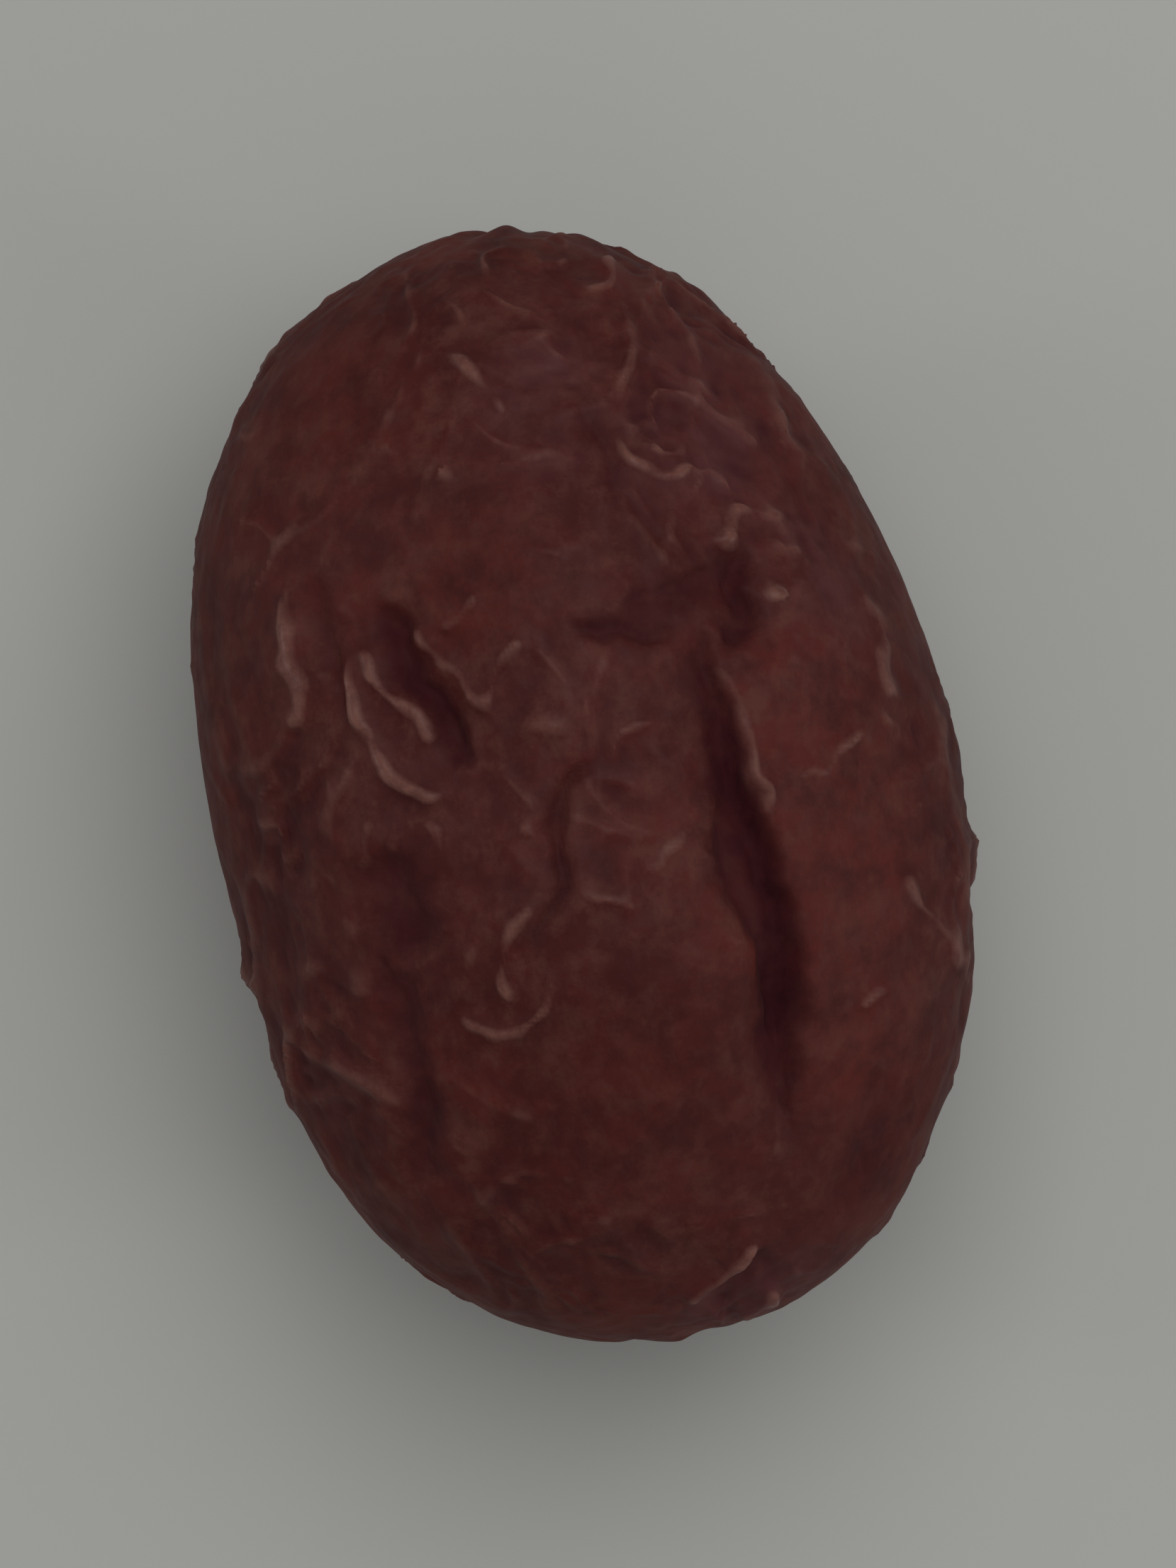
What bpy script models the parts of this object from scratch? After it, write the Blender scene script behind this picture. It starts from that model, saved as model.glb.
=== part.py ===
"""One whole dried jujube, lying on its side.

The body is an egg-like solid whose outline in plan was measured in the photograph. Its
skin is raised from that body by a formula: broad hollows, folds that run from end to
end, walls between cells of shrunken skin, the creases and ridges seen on the face, the
stem cavity and the small tip at the other end. The formula works in millimetres.

X runs across the fruit, +Y from the stem end to the tip, and +Z is the face seen in the
photograph. The fruit rests on a small flat spot at Z = 0.
"""
import bpy
import numpy as np

MM = 0.001

# The body, in millimetres
LENGTH = 30.4
WIDTH = 20.8
HEIGHT = 19.6
BELLY = 0.09
FOOT_CUT = 0.4
FOOT_CALM = 20.0
RELIEF_RISE = 0.08

# The outline seen from above, measured in the photograph and set in the fruit's own axes
OUTLINE = [
    (0.1, 15.3), (3.1, 14.2), (5.8, 12.0), (7.4, 9.4), (8.9, 6.2), (9.7, 3.0), (10.3, -0.4),
    (10.5, -3.3), (10.0, -6.2), (9.2, -9.2), (8.0, -11.6), (6.6, -13.3), (4.3, -14.7),
    (1.6, -15.2), (-1.7, -15.1), (-3.9, -14.3), (-5.4, -13.2), (-6.7, -12.2), (-7.9, -10.5),
    (-9.0, -7.6), (-9.8, -3.4), (-10.3, 0.2), (-10.3, 3.7), (-9.9, 7.9), (-8.5, 10.8),
    (-6.8, 12.9), (-4.9, 14.2), (-2.7, 15.1),
]
OUTLINE_BLUR = 30.0
OUTLINE_FULL = (0.15, 1.0)

# Broad hollows: direction from the middle, spread in degrees, depth
HOLLOWS = [
    ((-0.55, 0.35, -0.80), 30, 0.70),
    ((0.70, -0.20, -0.75), 26, 0.50),
    ((0.50, -0.75, -0.50), 22, 0.35),
    ((-0.85, -0.10, 0.50), 22, 0.35),
    ((-0.30, 0.12, 0.95), 17, 0.30),
    ((0.45, 0.45, 0.80), 17, 0.30),
]

# Every uneven field is a sum of plane waves: how many, and the spread of their wave numbers
WAVE_COUNT = 40
WAVE_SPREAD = (0.75, 1.25)

# Slow swells: height, wave length, seed. They are held back round the measured outline.
SWELLS = [(0.14, 15, 1), (0.09, 8, 2)]
SWELL_HELD = 0.8
SWELL_RIM = (0.6, 1.0)

# Where the skin is drawn taut and where it is most shrunken: direction, spread in degrees
TAUT = [
    ((0.10, -0.55, 0.83), 25),
    ((0.66, -0.10, 0.73), 15),
    ((0.62, -0.55, 0.55), 16),
    ((-0.15, 0.42, 0.90), 12),
    ((-0.50, 0.75, 0.45), 16),
    ((-0.88, 0.42, 0.15), 15),
    ((-0.70, -0.70, 0.05), 17),
    ((0.00, -1.00, 0.00), 18),
]
SHRUNKEN = [
    ((0.35, 0.70, 0.60), 20),
    ((-0.75, -0.20, 0.55), 24),
    ((0.00, 1.00, 0.10), 26),
    ((0.25, -0.90, 0.25), 10),
]
TAUT_SHARE = 0.94
SHRINK_WAVE = (17, 3)
SHRINK_LIFT = 0.3
SHRINK_UNDER = 0.5
UNDERSIDE = (-0.35, 0.15)
SHRINK_RANGE = (-0.7, 1.0)
ENDS_CLEAR = (0.15, 0.5)

# Long folds from end to end
FOLD_HEIGHT = 0.44
FOLD_WIDTH = 0.60
FOLD_MEAN = 0.45
FOLD_COUNT = 14
FOLD_ORDERS = (7, 14)
FOLD_SLANT = 0.2
FOLD_SEED = 5
FOLD_PLACES = (20, 31)
FOLD_RANGE = (-0.7, 0.7)
TURN_WANDER = [(0.12, 9.0, 21), (0.04, 4.5, 22)]

# The seen face is calmer than the flanks and the underside
FLANK = (-0.15, 0.55)
FACE_FOLDS = 0.20
FACE_WALLS = 0.40

# Walls between cells of shrunken skin, and veins
CELL_SIZE = 4.4
CELL_LONG = 1.45
CELL_AREA = 1800
CELL_SEED = 41
DRIFT = 0.55
DRIFT_WAVE = 7.0
DRIFT_SEEDS = (11, 12, 13)
WALL_HEIGHT = 0.40
WALL_WIDTH = 0.65
WALL_MEAN = 0.3
WALL_PLACES = (6, 42)
WALL_RANGE = (-1.0, 0.6)
WALL_BESIDE_FOLDS = 0.6
VEIN_HEIGHT = 0.15
VEIN_WIDTH = 0.45
VEIN_MEAN = 0.4
VEIN_WAVE = (5.0, 51)
ROUNDING = 0.30

# Creases seen on the face: points in plan, depth, half width on the path's left and on its
# right, height of the lip on its right
CREASES = [
    ([(4.3, -10.3), (4.7, -7.8), (5.1, -6.0), (5.1, -4.6), (4.75, -2.8), (4.3, -1.2), (4.0, 0.6), (3.75, 3.9)],
     0.95, 0.90, 0.52, 0.08),
    ([(3.0, 3.3), (2.2, 3.75), (1.3, 3.95), (0.2, 4.1)], 0.32, 0.42, 0.50, 0.06),
    ([(1.0, 4.5), (2.6, 4.4), (4.0, 4.5), (5.6, 4.3)], 0.24, 0.85, 0.85, 0.00),
    ([(4.2, 2.9), (5.0, 3.8), (4.9, 4.9), (4.9, 6.0)], 0.40, 0.50, 0.42, 0.10),
    ([(-4.8, 5.6), (-4.45, 4.2), (-3.95, 2.8), (-3.5, 1.8), (-3.1, 0.8)], 0.52, 0.55, 0.50, 0.04),
    ([(-1.9, -4.2), (-1.2, -3.3), (-0.9, -2.2), (-0.75, -0.9), (-0.3, 0.1), (0.5, 0.5)],
     0.38, 0.50, 0.42, 0.12),
    ([(-5.2, -3.8), (-5.5, -2.4), (-5.8, -1.2)], 0.36, 0.75, 0.75, 0.00),
    ([(-5.5, -10.2), (-5.6, -8.0), (-5.75, -6.0), (-6.2, -4.0)], 0.28, 0.55, 0.55, 0.00),
    ([(5.2, -12.4), (6.4, -10.8), (7.2, -8.8)], 0.24, 0.60, 0.55, 0.05),
    ([(2.1, 7.4), (1.9, 8.9), (1.1, 10.2)], 0.22, 0.42, 0.42, 0.06),
    ([(-6.5, 3.4), (-6.6, 5.0), (-6.6, 6.6)], 0.28, 0.45, 0.45, 0.00),
]
CREASE_ENDS = 0.45
CREASE_MIDDLE = 0.6
CREASE_POWER = 1.6
LIP_AWAY = 2.4
LIP_WIDE = 1.2
CREASE_CALM = 0.5

# Ridges seen on the face: points in plan, height, half width
RIDGES = [
    ([(-5.9, 4.9), (-5.8, 3.6), (-5.65, 2.5), (-5.35, 1.5), (-4.8, 0.65), (-4.1, 0.15), (-3.1, 0.0)], 0.24, 0.38),
    ([(-5.7, 4.5), (-5.2, 3.9), (-4.75, 2.9), (-4.3, 2.1), (-3.9, 1.6)], 0.24, 0.38),
    ([(-4.2, 4.8), (-3.6, 3.95), (-3.1, 3.1), (-2.6, 2.2)], 0.18, 0.38),
    ([(-2.6, 2.2), (-2.1, 2.8), (-1.6, 3.5), (-0.9, 3.6)], 0.14, 0.38),
    ([(-4.1, -0.5), (-3.8, -1.3), (-3.5, -2.0)], 0.15, 0.40),
    ([(-1.7, -2.8), (-2.2, -3.6), (-2.7, -4.6), (-3.0, -5.8)], 0.19, 0.38),
    ([(-4.0, -5.8), (-3.6, -6.25), (-3.0, -6.45), (-2.4, -6.3), (-1.9, -5.8), (-1.2, -5.0)], 0.23, 0.38),
    ([(-1.9, 12.0), (-1.4, 11.1), (-0.6, 10.0)], 0.21, 0.40),
    ([(2.15, 9.6), (2.4, 8.6), (3.0, 8.0), (3.6, 7.85), (4.3, 8.05)], 0.21, 0.38),
    ([(4.65, 5.7), (4.9, 6.3), (5.4, 6.9)], 0.19, 0.38),
    ([(5.05, 4.9), (5.4, 4.5), (5.9, 4.1)], 0.19, 0.38),
    ([(5.2, -0.95), (6.4, -0.4), (7.4, 0.25), (8.4, 0.5)], 0.15, 0.40),
    ([(7.9, 4.2), (8.5, 3.2), (8.5, 2.0), (8.9, 0.8)], 0.25, 0.46),
    ([(8.2, -3.4), (8.7, -4.6), (9.3, -5.4), (9.6, -6.8)], 0.25, 0.44),
    ([(1.3, -2.4), (1.9, -2.6), (2.2, -2.1), (3.0, -1.3)], 0.15, 0.40),
    ([(-7.2, 6.6), (-7.35, 5.0), (-7.2, 3.4), (-7.6, 2.2)], 0.27, 0.42),
    ([(4.4, 2.8), (4.6, 1.2), (4.8, -0.2), (5.25, -1.9)], 0.12, 0.40),
    ([(1.1, -14.4), (2.2, -13.6), (3.3, -12.8)], 0.19, 0.40),
    ([(2.7, 14.0), (2.3, 13.3), (1.6, 12.8)], 0.17, 0.38),
]
RIDGE_POWER = 1.5
RIDGE_CALM = 0.9

# How creases and ridges run: steps along a path, then how soon and how roundly they fade at both
# ends, how they waver, how much calmer the skin beside them is, and where the face fades out
PATH_STEPS = 60
TAPER_RISE = 2.0
TAPER_POWER = 0.7
WAVER = 0.08
WAVER_WAVE = 2.6
WAVER_SEEDS = (61, 62)
CALM_SHARE = 0.8
FACE_EDGE = (-0.05, 0.15)

# The two ends: where they sit in X and Z, then radii and heights
STEM_AT = (1.0, -3.0)
STEM_CUP = (1.9, 0.95)
STEM_PIT = (0.90, 0.65)
STEM_SCAR = (0.45, 0.40)
TIP_AT = (0.5, -1.4)
TIP_CUP = (1.4, 0.50)
TIP_POINT = (0.55, 0.40)

# Pleats drawn in round both ends: height, number round and start of each, then ring radius and width
PLEAT_HEIGHT = 0.065
PLEATS = [(9, 0.8), (14, 2.0)]
STEM_PLEATS = (2.9, 1.4)
TIP_PLEATS = (2.6, 1.5)

# The mesh: grid rows and columns worked out, and triangles kept
ROWS = 210
COLUMNS = 280
TRIANGLES = 11200

SKIN_COLOUR = (0.058, 0.014, 0.011, 1)
SKIN_ROUGHNESS = 0.42


def clear_scene():
    for thing in list(bpy.data.objects):
        bpy.data.objects.remove(thing, do_unlink=True)


def smooth_step(value, low, high):
    share = np.clip((value - low) / (high - low), 0, 1)
    return share * share * (3 - 2 * share)


def near(way, centre, degrees):
    """A soft patch on the fruit: 1 at the centre direction, fading with the angle from it."""
    centre = np.array(centre) / np.linalg.norm(centre)
    angle = np.degrees(np.arccos(np.clip(way @ centre, -1, 1)))
    return np.exp(-(angle / degrees) ** 2)


def waves(points, length, seed):
    """A smooth uneven field of unit spread: plane waves of one length in seeded directions."""
    random = np.random.default_rng(seed)
    push = random.normal(size=(3, WAVE_COUNT))
    length = length / random.uniform(*WAVE_SPREAD, WAVE_COUNT)
    push *= 2 * np.pi / length / np.linalg.norm(push, axis=0)
    phase = random.uniform(0, 2 * np.pi, WAVE_COUNT)
    return np.cos(points @ push + phase).sum(1) / np.sqrt(WAVE_COUNT / 2)


def crest(gap, width):
    """A ridge along gap = 0, falling away over the width, its top slightly rounded."""
    return np.exp(-(np.sqrt(gap ** 2 + ROUNDING ** 2) - ROUNDING) / width)


def directions():
    """Unit directions on rows and columns, the rows stacked along Y, then the two ends."""
    polar = np.linspace(0, np.pi, ROWS)[1:-1]
    around = np.linspace(0, 2 * np.pi, COLUMNS, endpoint=False)
    polar, around = np.meshgrid(polar, around, indexing="ij")
    ring = np.sin(polar)
    way = np.stack([ring * np.sin(around), np.cos(polar), ring * np.cos(around)], -1)
    return np.vstack([way.reshape(-1, 3), [(0, 1, 0), (0, -1, 0)]])


def faces():
    """Four-sided faces between the rows and three-sided ones round each end."""
    rows = ROWS - 2
    row, column = np.meshgrid(np.arange(rows - 1), np.arange(COLUMNS), indexing="ij")
    after = (column + 1) % COLUMNS
    here = row * COLUMNS
    there = here + COLUMNS
    sides = np.stack([here + column, there + column, there + after, here + after], -1)
    column = np.arange(COLUMNS)
    after = (column + 1) % COLUMNS
    last = (rows - 1) * COLUMNS
    tip = np.stack([np.full(COLUMNS, rows * COLUMNS), column, after], -1)
    stem = np.stack([np.full(COLUMNS, rows * COLUMNS + 1), last + after, last + column], -1)
    return sides.reshape(-1, 4).tolist() + tip.tolist() + stem.tolist()


def body(way):
    """The smooth body: an ellipsoid filled out in plan to the measured outline."""
    half = np.array([WIDTH / 2, LENGTH / 2])
    seen = np.array(OUTLINE) / half
    seen_angle = np.arctan2(seen[:, 1], seen[:, 0])
    seen_reach = np.hypot(seen[:, 0], seen[:, 1])
    angle = np.arctan2(way[:, 1], way[:, 0])
    weight = np.exp(OUTLINE_BLUR * (np.cos(angle[:, None] - seen_angle) - 1))
    reach = (weight * seen_reach).sum(1) / weight.sum(1)
    rim = smooth_step(np.hypot(way[:, 0], way[:, 1]), *OUTLINE_FULL)
    reach = 1 + rim * (reach - 1)
    x = way[:, 0] * half[0] * reach
    y = way[:, 1] * half[1] * reach
    z = way[:, 2] * HEIGHT / 2 * (1 + BELLY * way[:, 1] ** 2)
    return np.stack([x, y, z], 1)


def outward(way):
    normal = way / np.array([WIDTH / 2, LENGTH / 2, HEIGHT / 2])
    return normal / np.linalg.norm(normal, axis=1, keepdims=True)


def cell_gap(points):
    """How much nearer the nearest cell centre is than the next one: zero on the cell walls."""
    random = np.random.default_rng(CELL_SEED)
    count = int(CELL_AREA / CELL_SIZE ** 2)
    number = np.arange(count) + 0.5
    height = 1 - 2 * number / count
    turn = np.pi * (1 + 5 ** 0.5) * number
    ring = np.sqrt(1 - height * height)
    centres = np.stack([ring * np.sin(turn), height, ring * np.cos(turn)], 1)
    centres += random.normal(scale=1 / np.sqrt(count), size=centres.shape)
    centres = body(centres / np.linalg.norm(centres, axis=1, keepdims=True))
    squeeze = np.array([1, 1 / CELL_LONG, 1])
    points = points * squeeze
    centres = centres * squeeze
    square = (points ** 2).sum(1)[:, None] + (centres ** 2).sum(1) - 2 * points @ centres.T
    nearest = np.partition(np.sqrt(np.maximum(square, 0)), 1, axis=1)
    return nearest[:, 1] - nearest[:, 0]


def curve(points):
    """A smooth curve through hand-set points in plan."""
    points = np.array(points)
    points = np.vstack([2 * points[0] - points[1], points, 2 * points[-1] - points[-2]])
    spans = len(points) - 3
    pieces = []
    for start in range(spans):
        t = np.linspace(0, 1, PATH_STEPS // spans + 1, endpoint=False)[:, None]
        a, b, c, d = points[start:start + 4]
        bend = (2 * a - 5 * b + 4 * c - d) * t ** 2 + (3 * b - a - 3 * c + d) * t ** 3
        pieces.append(0.5 * (2 * b + (c - a) * t + bend))
    pieces.append(points[-2:-1])
    return np.vstack(pieces)


def along(plan, path):
    """Distance to the right of a path in plan (left is negative), and the share run along it."""
    square = ((plan[:, None] - path) ** 2).sum(-1)
    nearest = square.argmin(1)
    step = np.gradient(path, axis=0)[nearest]
    length = np.linalg.norm(step, axis=1)
    off = plan - path[nearest]
    across = (step[:, 1] * off[:, 0] - step[:, 0] * off[:, 1]) / length
    onward = np.clip((step * off).sum(1) / length ** 2, -0.5, 0.5)
    beyond = (nearest == 0) | (nearest == len(path) - 1)
    gap = np.where(beyond, np.sqrt(square.min(1)) * np.sign(across), across)
    return gap, np.clip((nearest + onward) / (len(path) - 1), 0, 1)


def tapered(plan, path):
    """Distance to the right of a curve, and a taper along it that is zero at both ends."""
    gap, share = along(plan, curve(path))
    return gap, np.clip(TAPER_RISE * np.sin(np.pi * share), 0, 1) ** TAPER_POWER


def shrunken_share(way, points):
    """How shrunken the skin is, from 0 where it is taut, and at the two ends, to 1."""
    under = 1 - smooth_step(way[:, 2], *UNDERSIDE)
    share = smooth_step(waves(points, *SHRINK_WAVE) + SHRINK_LIFT + SHRINK_UNDER * under, *SHRINK_RANGE)
    for centre, degrees in SHRUNKEN:
        share = np.maximum(share, near(way, centre, degrees))
    for centre, degrees in TAUT:
        share = share * (1 - TAUT_SHARE * near(way, centre, degrees))
    return share * smooth_step(np.hypot(way[:, 0], way[:, 2]), *ENDS_CLEAR)


def round_turn(points):
    """The angle round the line from stem to tip, wandering so that no fold runs dead straight."""
    share = points[:, 1] / LENGTH + 0.5
    across = points[:, 0] - STEM_AT[0] - share * (TIP_AT[0] - STEM_AT[0])
    up = points[:, 2] - STEM_AT[1] - share * (TIP_AT[1] - STEM_AT[1])
    turn = np.arctan2(across, up)
    for amount, length, seed in TURN_WANDER:
        turn += amount * waves(points, length, seed)
    return turn


def broad_form(way, points):
    """Slow swells, held back round the measured outline, less the hollows."""
    held = 1 - SWELL_HELD * smooth_step(np.hypot(way[:, 0], way[:, 1]), *SWELL_RIM)
    height = np.zeros(len(way))
    for tall, length, seed in SWELLS:
        height += held * tall * waves(points, length, seed)
    for centre, degrees, depth in HOLLOWS:
        height -= depth * near(way, centre, degrees)
    return height


def fold_lines(way, points):
    """A field of unit spread whose zero lines run from end to end, where the folds have their crests."""
    run = LENGTH / 2 * np.arcsin(np.clip(way[:, 1], -1, 1))
    turn = round_turn(points)
    random = np.random.default_rng(FOLD_SEED)
    mixed = np.zeros(len(way))
    for order in random.integers(*FOLD_ORDERS, FOLD_COUNT):
        slant = random.uniform(-FOLD_SLANT, FOLD_SLANT)
        mixed += np.cos(order * turn + slant * run + random.uniform(0, 2 * np.pi))
    return mixed / np.sqrt(FOLD_COUNT / 2)


def folds_and_cells(way, points):
    """Long folds, strongest on the flanks, with cells of shrunken skin and winding veins."""
    flank = 1 - smooth_step(way[:, 2], *FLANK)
    folded = smooth_step(waves(points, *FOLD_PLACES), *FOLD_RANGE)
    fold = crest(np.abs(fold_lines(way, points)), FOLD_WIDTH) - FOLD_MEAN
    height = FOLD_HEIGHT * folded * (FACE_FOLDS + (1 - FACE_FOLDS) * flank) * fold
    drift = DRIFT * np.stack([waves(points, DRIFT_WAVE, seed) for seed in DRIFT_SEEDS], 1)
    wall = crest(cell_gap(points + drift), WALL_WIDTH) - WALL_MEAN
    strong = (1 - WALL_BESIDE_FOLDS * folded) * smooth_step(waves(points, *WALL_PLACES), *WALL_RANGE)
    height += WALL_HEIGHT * strong * (FACE_WALLS + (1 - FACE_WALLS) * flank) * wall
    height += VEIN_HEIGHT * (crest(np.abs(waves(points + drift, *VEIN_WAVE)), VEIN_WIDTH) - VEIN_MEAN)
    return shrunken_share(way, points) * height


def creases(plan):
    """Each crease a valley with its own slope on each side of its path, and a lip on the right.
    Also how calm the skin beside it is."""
    height = np.zeros(len(plan))
    calm = np.zeros(len(plan))
    for path, depth, left, right, lip in CREASES:
        gap, taper = tapered(plan, path)
        side = np.where(gap > 0, right, left) * (CREASE_ENDS + CREASE_MIDDLE * taper)
        height -= depth * taper * np.exp(-np.abs(gap / side) ** CREASE_POWER)
        height += lip * taper * np.exp(-((gap - LIP_AWAY * right) / (LIP_WIDE * right)) ** 2)
        calm = np.maximum(calm, taper * np.exp(-(gap / (side + CREASE_CALM)) ** 2))
    return height, calm


def ridges(plan):
    """Each ridge a narrow hump along its path, and how calm the skin beside it is."""
    height = np.zeros(len(plan))
    calm = np.zeros(len(plan))
    for path, tall, width in RIDGES:
        gap, taper = tapered(plan, path)
        height += tall * taper / (1 + (gap / width) ** 2) ** RIDGE_POWER
        calm = np.maximum(calm, taper * np.exp(-(gap / RIDGE_CALM) ** 2))
    return height, calm


def face_marks(way, points):
    """The creases and ridges of the seen face, fading out round its edge, and the calm beside them."""
    height = np.zeros(len(way))
    calm = np.zeros(len(way))
    seen = way[:, 2] > FACE_EDGE[0]
    waver = np.stack([waves(points[seen], WAVER_WAVE, seed) for seed in WAVER_SEEDS], 1)
    plan = points[seen, :2] + WAVER * waver
    sunk, crease_calm = creases(plan)
    raised, ridge_calm = ridges(plan)
    fade = smooth_step(way[seen, 2], *FACE_EDGE)
    height[seen] = fade * (sunk + raised)
    calm[seen] = fade * CALM_SHARE * np.maximum(crease_calm, ridge_calm)
    return height, calm


def ends(way, points):
    """The stem cavity with its pit and scar at -Y, and the small tip in its dimple at +Y."""
    stem = np.hypot(points[:, 0] - STEM_AT[0], points[:, 2] - STEM_AT[1])
    tip = np.hypot(points[:, 0] - TIP_AT[0], points[:, 2] - TIP_AT[1])
    cavity = STEM_SCAR[1] * np.exp(-(stem / STEM_SCAR[0]) ** 4)
    cavity -= STEM_CUP[1] * np.exp(-(stem / STEM_CUP[0]) ** 2)
    cavity -= STEM_PIT[1] * np.exp(-(stem / STEM_PIT[0]) ** 4)
    dimple = TIP_POINT[1] * np.exp(-(tip / TIP_POINT[0]) ** 2)
    dimple -= TIP_CUP[1] * np.exp(-(tip / TIP_CUP[0]) ** 2)
    turn = round_turn(points)
    drawn = PLEAT_HEIGHT * sum(np.cos(number * turn + start) for number, start in PLEATS)
    cavity += drawn * np.exp(-((stem - STEM_PLEATS[0]) / STEM_PLEATS[1]) ** 2)
    dimple += drawn * np.exp(-((tip - TIP_PLEATS[0]) / TIP_PLEATS[1]) ** 2)
    return np.where(way[:, 1] < 0, cavity, dimple)


def skin_points():
    """Where every point of the skin lies, centred in plan, with the foot cut flat at Z = 0."""
    way = directions()
    points = body(way)
    marks, calm = face_marks(way, points)
    height = broad_form(way, points) + (1 - calm) * folds_and_cells(way, points)
    height += marks + ends(way, points) - RELIEF_RISE
    height *= 1 - near(way, (0, 0, -1), FOOT_CALM)
    points = points + outward(way) * height[:, None]
    points[:, :2] -= (points[:, :2].max(0) + points[:, :2].min(0)) / 2
    points[:, 2] = np.maximum(points[:, 2] + HEIGHT / 2 - FOOT_CUT, 0)
    return points


def thin_out(fruit):
    """Keep the triangles the relief needs, and set the foot flat again."""
    less = fruit.modifiers.new("thin out", "DECIMATE")
    less.ratio = TRIANGLES / (2 * COLUMNS * (ROWS - 2))
    less.use_collapse_triangulate = True
    bpy.context.view_layer.update()
    seen = fruit.evaluated_get(bpy.context.evaluated_depsgraph_get())
    mesh = bpy.data.meshes.new_from_object(seen)
    fruit.modifiers.clear()
    for vertex in mesh.vertices:
        vertex.co.z = max(vertex.co.z, 0.0)
    mesh.name = fruit.name
    fruit.data = mesh


def skin_material():
    material = bpy.data.materials.new("dried jujube skin")
    material.use_nodes = True
    skin = material.node_tree.nodes["Principled BSDF"]
    skin.inputs["Base Color"].default_value = SKIN_COLOUR
    skin.inputs["Roughness"].default_value = SKIN_ROUGHNESS
    skin.inputs["Metallic"].default_value = 0.0
    return material


def make_fruit():
    mesh = bpy.data.meshes.new("jujube_fruit")
    mesh.from_pydata((skin_points() * MM).tolist(), [], faces())
    mesh.materials.append(skin_material())
    fruit = bpy.data.objects.new("jujube_fruit", mesh)
    bpy.context.scene.collection.objects.link(fruit)
    thin_out(fruit)
    fruit.data.shade_smooth()


clear_scene()
make_fruit()
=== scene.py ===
"""A whole dried jujube lying on a pale floor, seen from straight above its face."""
import math

import bpy
import numpy as np
from mathutils import Euler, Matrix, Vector


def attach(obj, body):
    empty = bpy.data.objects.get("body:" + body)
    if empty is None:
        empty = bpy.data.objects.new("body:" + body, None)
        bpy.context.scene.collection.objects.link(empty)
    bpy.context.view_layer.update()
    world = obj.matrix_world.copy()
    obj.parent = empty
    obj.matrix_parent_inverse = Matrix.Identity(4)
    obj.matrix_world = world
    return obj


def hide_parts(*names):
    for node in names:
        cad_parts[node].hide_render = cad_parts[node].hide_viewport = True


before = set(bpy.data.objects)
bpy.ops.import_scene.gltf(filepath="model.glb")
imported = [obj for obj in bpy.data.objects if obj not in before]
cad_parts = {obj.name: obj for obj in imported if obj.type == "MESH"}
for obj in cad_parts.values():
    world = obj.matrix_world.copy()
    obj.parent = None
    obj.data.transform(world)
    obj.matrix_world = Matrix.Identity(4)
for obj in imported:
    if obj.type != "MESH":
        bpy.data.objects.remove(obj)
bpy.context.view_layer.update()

# The jujube's skin: one closed, leathery skin that shrank over the drying flesh, grown as one
# piece and fixed to nothing. It has the same body, hollows, folds, creases and ends as the
# solid, in millimetres, drawn sharper, with finer wrinkles between them.
MM = 0.001
LENGTH = 30.4
WIDTH = 20.8
HEIGHT = 19.6
BELLY = 0.09
FOOT_CUT = 0.4
FOOT_CALM = 20.0
RELIEF_RISE = 0.08

# Rows and columns of the mesh, and how much closer the columns stand on the seen face
ROWS = 370
COLUMNS = 268
FACE_CROWD = 0.50

# The outline seen from above, measured in the photograph and set in the fruit's own axes
OUTLINE = [
    (0.1, 15.3), (3.1, 14.2), (5.8, 12.0), (7.4, 9.4), (8.9, 6.2), (9.7, 3.0), (10.3, -0.4),
    (10.5, -3.3), (10.0, -6.2), (9.2, -9.2), (8.0, -11.6), (6.6, -13.3), (4.3, -14.7),
    (1.6, -15.2), (-1.7, -15.1), (-3.9, -14.3), (-5.4, -13.2), (-6.7, -12.2), (-7.9, -10.5),
    (-9.0, -7.6), (-9.8, -3.4), (-10.3, 0.2), (-10.3, 3.7), (-9.9, 7.9), (-8.5, 10.8),
    (-6.8, 12.9), (-4.9, 14.2), (-2.7, 15.1),
]
OUTLINE_BLUR = 30.0
OUTLINE_FULL = (0.15, 1.0)


def smooth_step(value, low, high):
    """0 below low, 1 above high, and between them 3 t squared minus 2 t cubed."""
    share = np.clip((value - low) / (high - low), 0, 1)
    return share * share * (3 - 2 * share)


def skin_grid():
    """Unit directions (sin p sin a, cos p, sin p cos a) on rows of p and columns of a, then both ends.
    A share of sin a is taken from a, so that the columns stand closer on the seen face."""
    polar = np.linspace(0, np.pi, ROWS + 2)[1:-1]
    around = np.linspace(0, 2 * np.pi, COLUMNS, endpoint=False)
    around = around - FACE_CROWD * np.sin(around)
    polar, around = np.meshgrid(polar, around, indexing="ij")
    ring = np.sin(polar)
    way = np.stack([ring * np.sin(around), np.cos(polar), ring * np.cos(around)], -1)
    return np.vstack([way.reshape(-1, 3), [(0, 1, 0), (0, -1, 0)]])


def skin_faces():
    """Quads between neighbouring rows and columns, and a fan of triangles round each end."""
    row, column = np.meshgrid(np.arange(ROWS - 1), np.arange(COLUMNS), indexing="ij")
    after = (column + 1) % COLUMNS
    here = row * COLUMNS
    there = here + COLUMNS
    sides = np.stack([here + column, there + column, there + after, here + after], -1)
    column = np.arange(COLUMNS)
    after = (column + 1) % COLUMNS
    last = (ROWS - 1) * COLUMNS
    tip = np.stack([np.full(COLUMNS, ROWS * COLUMNS), column, after], -1)
    stem = np.stack([np.full(COLUMNS, ROWS * COLUMNS + 1), last + after, last + column], -1)
    return sides.reshape(-1, 4).tolist() + tip.tolist() + stem.tolist()


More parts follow.
